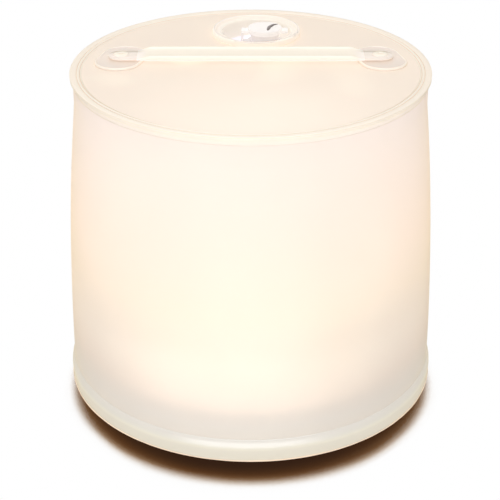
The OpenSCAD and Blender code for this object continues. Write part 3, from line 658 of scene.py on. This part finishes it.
def strap_loop(x):
    """Points round the strap at x: flat below, a round bead along each edge, a shallow web between."""
    half, bead, web = strap_section(x)
    centre = half - bead
    right = [(centre + bead * math.cos(math.radians(turn)), bead + bead * math.sin(math.radians(turn)))
             for turn in (-90, -60, -30, 0, 30, 60, 90, 120, 145)]
    right += [(max(right[-1][0] - 0.5 * bead, 0.4 * half), max(web, 0.9 * bead)),
              (0.25 * half, web * 0.97)]
    left = [(-y, z) for y, z in reversed(right)]
    below = [(-0.5 * half, 0.0), (0, 0.0), (0.5 * half, 0.0)]
    return [(x, STRAP_Y + y, STRAP_LOW.z + z) for y, z in right + left + below]


def make_strap():
    """The strap in two halves that meet in the middle, each held by its stud."""
    tip = STRAP_HIGH.x
    spots = [2 * MM * i for i in range(16)] + [31 * MM + 0.75 * MM * i for i in range(18)]
    spots += [tip - inset * MM for inset in (3.9, 2.9, 1.9, 1.1, 0.5, 0.2, 0.08)]
    for side, name in ((-1, "carry_strap_left"), (1, "carry_strap_right")):
        rows = [strap_loop(side * spot)[::side] for spot in spots]
        tab = [int(spot > STRAP_MIDDLE + 0.5 * MM) for spot in spots]
        strap = capped_grid(name, rows, caps=(False, True), strip_material=tab)
        strap.data.materials.append(STRAP_FILM)
        strap.data.materials.append(TAB_FILM)
        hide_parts("carry_strap")
        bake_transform(strap)


def make_studs():
    """The two studs that hold the strap: low buttons with a dimple."""
    foot = ROOF_Z + 0.5 * MM
    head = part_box("strap_studs")[1].z
    stem_r = 2.0                          # in mm, as the radii and the depths under the top in button
    button = [(stem_r, 0.62), (2.55, 0.5), (2.6, 0.38), (2.3, 0.2), (1.6, 0.04), (1.0, 0), (0.62, 0.02),
              (0.5, 0.2), (0.4, 0.75), (0, 0.8)]
    profile = [(0, foot), (stem_r * MM, foot)] + [(r * MM, head - depth * MM) for r, depth in button]
    for side, name in ((-1, "strap_stud_left"), (1, "strap_stud_right")):
        stud = dome(name, profile, (side * STUD_X, STRAP_Y))
        stud.data.materials.append(STRAP_FILM)
        place(stud, "drum_top", "weld", "strap_studs")


make_pad(-1, "left_pad")
make_pad(1, "right_pad")
make_strap()
make_studs()

# ---------------------------------------------------------------- CAD nodes that stay


def valve_skin():
    """The valve's moulding: clear and milky in the cup, pale at the cup's edge, frosted out to the weld."""
    p = Paint("valve_skin")
    share = p.math("DIVIDE", p.distance(VALVE_AT.x, VALVE_AT.y), VALVE_SKIN_R)
    edge, wall = CUP_R / VALVE_SKIN_R, CUP_HOLE_R / VALVE_SKIN_R
    inside, outside = edge - 0.05, wall + 0.05
    colour = p.ramp(share, [(0.0, rgb(233, 225, 225)), (inside, rgb(233, 225, 225)),
                            (edge, rgb(250, 243, 230)), (wall, rgb(248, 236, 222)),
                            (outside, rgb(243, 228, 214))])
    # Painted light: the valve glows, bluish in the cup, with a brighter painted ring near the outer edge of
    # its flange.
    light = p.ramp(share, [(0.0, rgb(134, 138, 160)), (inside, rgb(134, 138, 160)),
                           (edge, rgb(104, 102, 96)), (wall, rgb(112, 111, 108)),
                           (outside, rgb(124, 123, 120)), (0.9, rgb(134, 132, 128)),
                           (0.925, rgb(166, 164, 158)), (0.97, rgb(152, 149, 143))])
    veil = p.add("MapRange", Value=share, From_Min=edge, From_Max=wall, To_Min=0.94, To_Max=1.0)
    matt = p.add("MapRange", Value=share, From_Min=edge, From_Max=wall, To_Min=0.2, To_Max=0.5)
    skin = p.add("BsdfPrincipled", Base_Color=colour, Roughness=matt.outputs["Result"], IOR=1.45,
                 Alpha=veil.outputs["Result"], Emission_Color=light, Emission_Strength=1.0,
                 Normal=p.bump(p.noise(160.0, 2.0), 0.05 * MM, 0.5))
    return p.finish(skin.outputs["BSDF"])


def lens_glow():
    """The diffusing lens: white in the middle, a warmer ring, then bright out to its duller edge."""
    p = Paint("lens_glow")
    share = p.math("DIVIDE", p.distance(0, 0), LENS_GLOW_R)
    spread = p.ramp(share, [(0.0, rgb(250, 250, 246)), (0.36, rgb(250, 249, 244)),
                            (0.52, rgb(236, 208, 172)), (0.72, rgb(232, 202, 166)),
                            (0.82, rgb(254, 250, 238)), (0.9, rgb(248, 240, 226)),
                            (0.97, rgb(236, 224, 210)), (1.0, rgb(205, 192, 178))])
    skin = p.add("BsdfPrincipled", Base_Color=(*rgb(246, 244, 236), 1), Roughness=0.4,
                 Emission_Color=spread, Emission_Strength=0.7,
                 Normal=p.bump(p.noise(900.0, 2.0), 0.02 * MM, 0.4))
    return p.finish(skin.outputs["BSDF"])


def solar_cell():
    """Dark blue cells crossed by fine silver fingers one way and wider bars the other."""
    p = Paint("solar_cell")
    parts = p.add("SeparateXYZ", Vector=p.place())

    def stripes(axis, half_pitch, half_width):
        return p.math("LESS_THAN", p.math("PINGPONG", parts.outputs[axis], half_pitch), half_width)

    lines = p.math("MAXIMUM", stripes("X", 0.8 * MM, 0.07 * MM), stripes("Y", 6 * MM, 0.45 * MM))
    crystal = p.ramp(p.add("TexVoronoi", Vector=p.place(), Scale=160.0).outputs["Distance"],
                     [(0.0, rgb(24, 30, 66)), (1.0, rgb(44, 56, 110))])
    mixed = p.add("Mix", {"data_type": "RGBA"}, i0=lines, i6=crystal, i7=(*rgb(176, 182, 190), 1))
    skin = p.add("BsdfPrincipled", Base_Color=mixed.outputs["Result"], Roughness=0.22, Coat_Weight=0.6,
                 Coat_Roughness=0.08)
    return p.finish(skin.outputs["BSDF"])


def coat_nodes(material, *nodes):
    """Gives CAD nodes a material."""
    for name in nodes:
        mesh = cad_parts[name].data
        mesh.materials.clear()
        mesh.materials.append(material)


# The valve's clear parts give off painted light.
VINYL = clear_vinyl("clear_vinyl", rgb(249, 244, 241), veil=0.6, roughness=0.12, glow=0.14)
VINYL_CAP = clear_vinyl("cap_vinyl", rgb(252, 247, 243), veil=0.75, roughness=0.1, glow=0.21)
coat_nodes(VINYL, "valve_stem", "cap_tether", "valve_flap")
coat_nodes(valve_skin(), "valve_flange")
coat_nodes(VINYL_CAP, "valve_cap")
coat_nodes(moulded("case_plastic", rgb(214, 213, 209), 0.42, coat=0.05), "lower_case")
coat_nodes(moulded("housing_plastic", rgb(226, 219, 209), 0.45), "upper_housing")
coat_nodes(lens_glow(), "top_lens")
coat_nodes(solar_cell(), "solar_cells")
coat_nodes(moulded("window_glaze", rgb(200, 212, 222), 0.08, coat=0.5, alpha=0.22, depth=0.0),
           "solar_window", "light_pipes")
coat_nodes(moulded("board_white", rgb(228, 228, 222), 0.5), "solar_backing", "led_board",
           "reflector_sheet", "battery_socket")
coat_nodes(moulded("board_green", rgb(34, 110, 72), 0.35, coat=0.2), "control_board")
coat_nodes(moulded("chip_black", rgb(38, 38, 42), 0.5), "control_chips", "button_switches")
coat_nodes(moulded("lead_red", rgb(176, 34, 28), 0.35), "solar_leads", "battery_leads", "led_leads")
coat_nodes(moulded("seal_rubber", rgb(52, 52, 54), 0.7), "seal_ring")
coat_nodes(moulded("screw_steel", rgb(190, 190, 194), 0.3, metal=1.0), "case_screws", "control_screws",
           "led_screws")
coat_nodes(moulded("battery_foil", rgb(170, 180, 198), 0.3, metal=0.6), "battery")
coat_nodes(moulded("foam_grey", rgb(92, 92, 92), 0.9, depth=0.1), "battery_foam")
coat_nodes(moulded("lamp_phosphor", rgb(255, 238, 170), 0.4, glow=0.8), "led_lamps", "charge_lights")
coat_nodes(moulded("button_soft", rgb(150, 152, 156), 0.6), "power_button", "charge_button")

# how wide the sharp edges of these nodes are rounded, in mm
for name, width in (("lower_case", 0.5), ("upper_housing", 0.3), ("valve_flange", 0.3),
                    ("valve_stem", 0.2), ("cap_tether", 0.15), ("valve_cap", 0.3), ("power_button", 0.25),
                    ("charge_button", 0.25), ("solar_window", 0.15), ("battery", 0.4)):
    soften(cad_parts[name], width * MM)


def paint_reflection_streak(name, path, thick, parts=6, sides=10):
    """A fine dark streak on the cap, a painted reflection that stands in for a dark reflection in the clear
    plastic, through points of its top.

    Each stretch of the path has so many parts, and the streak is thickest before its middle."""
    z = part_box("valve_cap")[1].z + 0.02 * MM
    points = [Vector(spot) for spot in path]
    turns = [2 * math.pi * k / sides for k in range(sides)]
    count = (len(points) - 1) * parts
    rows = []
    for i in range(count + 1):
        step = min(i // parts, len(points) - 2)
        spot = points[step].lerp(points[step + 1], i / parts - step)
        size = thick * math.sin(math.pi * (0.04 + 0.92 * (i / count) ** 0.7)) ** 0.8
        ahead = points[step + 1] - points[step]
        across = Vector((-ahead.y, ahead.x)).normalized() * size
        rows.append([(spot.x + across.x * math.cos(turn), spot.y + across.y * math.cos(turn),
                      z + 0.5 * size * math.sin(turn)) for turn in turns])
    streak = capped_grid(name, rows)
    streak.data.materials.append(DARK_REFLECTION_PAINT)
    place(streak, "cap", "clear_pvc")


# Painted reflection: a dark streak on the clear cap stands in for the dark reflection in it.
DARK_REFLECTION_PAINT = moulded("painted_dark_reflection", rgb(118, 104, 98), 0.3, coat=0.3)
REFLECTION_PATH = [(6.0 * MM, 31.6 * MM), (6.6 * MM, 35.2 * MM), (8.0 * MM, 37.6 * MM), (9.7 * MM, 38.5 * MM)]
paint_reflection_streak("valve_cap_painted_reflection", REFLECTION_PATH, 0.72 * MM)

# ---------------------------------------------------------------- own meshes

# The wall and its seam each get a mesh of their own.
for piece in (wall, seam):
    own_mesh(piece)

# ---------------------------------------------------------------- stage, light and camera

FLOOR_HALF = 4.0                          # half of the floor's width
FLOOR_BOUNCE = 0.75                       # light that the pale floor sends back up
WORLD_LIGHT = 0.37                        # light from all round; the camera and mirrors see plain white

CAMERA_AT = (0, -0.481, 0.3025)
CAMERA_DOWN = 26.45                       # how far the camera looks down, in degrees
CAMERA_LENS = 109.7                       # focal length, in mm on a sensor 36 mm wide
CAMERA_SHIFT = (-0.0014, -0.05)


def floor_paint():
    """White where the camera sees it, with a painted brown shadow where the lantern stands close over it;
    open from below.
    """
    p = Paint("floor_white")
    y = p.add("SeparateXYZ", Vector=p.place()).outputs["Y"]
    # the shade reaches further in front of the lantern than under it
    reach = p.add("MapRange", Value=y, From_Min=-BASE_R - 10 * MM, From_Max=-40 * MM,
                  To_Min=16 * MM, To_Max=13.3 * MM).outputs["Result"]
    open_air = p.add("AmbientOcclusion", {"samples": 16}, Distance=reach).outputs["AO"]
    shadow = p.ramp(open_air, [(0.05, rgb(44, 26, 20)), (0.25, rgb(55, 35, 22)),
                               (0.46, rgb(95, 61, 34)), (0.6, rgb(160, 130, 98)),
                               (0.67, rgb(232, 222, 212)), (0.76, rgb(255, 255, 255))])
    seen = p.add("Emission", Color=shadow, Strength=1.0)
    bounce = p.add("Emission", Color=(*rgb(255, 253, 250), 1), Strength=FLOOR_BOUNCE)
    path = p.add("LightPath")
    direct = p.math("MAXIMUM", path.outputs["Is Camera Ray"], path.outputs["Is Transmission Ray"])
    mixed = p.add("MixShader", Fac=direct, i1=bounce.outputs["Emission"], i2=seen.outputs["Emission"])
    from_below = p.add("NewGeometry").outputs["Backfacing"]
    open_below = p.add("MixShader", Fac=from_below, i1=mixed.outputs["Shader"],
                       i2=p.add("BsdfTransparent").outputs["BSDF"])
    return p.finish(open_below.outputs["Shader"])


def make_floor():
    """A wide flat floor that the lantern stands on."""
    mesh = bpy.data.meshes.new("floor")
    corners = [(x * FLOOR_HALF, y * FLOOR_HALF, 0) for x, y in ((-1, -1), (1, -1), (1, 1), (-1, 1))]
    mesh.from_pydata(corners, [], [(0, 1, 2, 3)])
    floor = bpy.data.objects.new("floor", mesh)
    bpy.context.scene.collection.objects.link(floor)
    mesh.materials.append(floor_paint())


def make_world():
    """A white studio, dimmer for what it lights than for what sees it."""
    world = bpy.data.worlds.new("studio")
    bpy.context.scene.world = world
    world.use_nodes = True
    tree = world.node_tree
    tree.nodes.clear()
    out = tree.nodes.new("ShaderNodeOutputWorld")
    white = tree.nodes.new("ShaderNodeBackground")
    dim = tree.nodes.new("ShaderNodeBackground")
    dim.inputs["Strength"].default_value = WORLD_LIGHT
    for node in (white, dim):
        node.inputs["Color"].default_value = (1, 1, 1, 1)
    path = tree.nodes.new("ShaderNodeLightPath")
    most = [tree.nodes.new("ShaderNodeMath") for _ in range(2)]
    for node in most:
        node.operation = "MAXIMUM"
    mix = tree.nodes.new("ShaderNodeMixShader")
    tree.links.new(path.outputs["Is Camera Ray"], most[0].inputs[0])
    tree.links.new(path.outputs["Is Glossy Ray"], most[0].inputs[1])
    tree.links.new(most[0].outputs[0], most[1].inputs[0])
    tree.links.new(path.outputs["Is Transmission Ray"], most[1].inputs[1])
    tree.links.new(most[1].outputs[0], mix.inputs[0])
    tree.links.new(dim.outputs[0], mix.inputs[1])
    tree.links.new(white.outputs[0], mix.inputs[2])
    tree.links.new(mix.outputs[0], out.inputs["Surface"])


def softbox(name, spot, aim, size, power, colour=(1, 1, 1)):
    """A flat lamp at spot that shines towards aim; size is its width and height, power is in watts."""
    light = bpy.data.lights.new(name, "AREA")
    light.shape = "RECTANGLE"
    light.size, light.size_y = size
    light.energy = power
    light.color = colour
    lamp = bpy.data.objects.new(name, light)
    lamp.location = spot
    lamp.rotation_euler = (Vector(aim) - Vector(spot)).to_track_quat("-Z", "Y").to_euler()
    bpy.context.scene.collection.objects.link(lamp)


def make_camera():
    """At the photograph's viewing angle: above the lantern, looking down on it."""
    data = bpy.data.cameras.new("camera")
    data.sensor_width = 36
    data.lens = CAMERA_LENS
    data.shift_x, data.shift_y = CAMERA_SHIFT
    camera = bpy.data.objects.new("camera", data)
    camera.location = CAMERA_AT
    camera.rotation_euler = (math.radians(90 - CAMERA_DOWN), 0, 0)
    bpy.context.scene.collection.objects.link(camera)
    bpy.context.scene.camera = camera


make_floor()
make_world()
softbox("front", spot=(-0.03, -0.98, 0.18), aim=(0, 0, 0.06), size=(1.5, 0.3), power=3.5,
        colour=(0.97, 0.99, 1.0))
softbox("top", spot=(-0.1, -0.1, 0.9), aim=(0, 0, 0.1), size=(0.8, 0.8), power=3.75)
make_camera()
bpy.context.scene.view_settings.view_transform = "Standard"
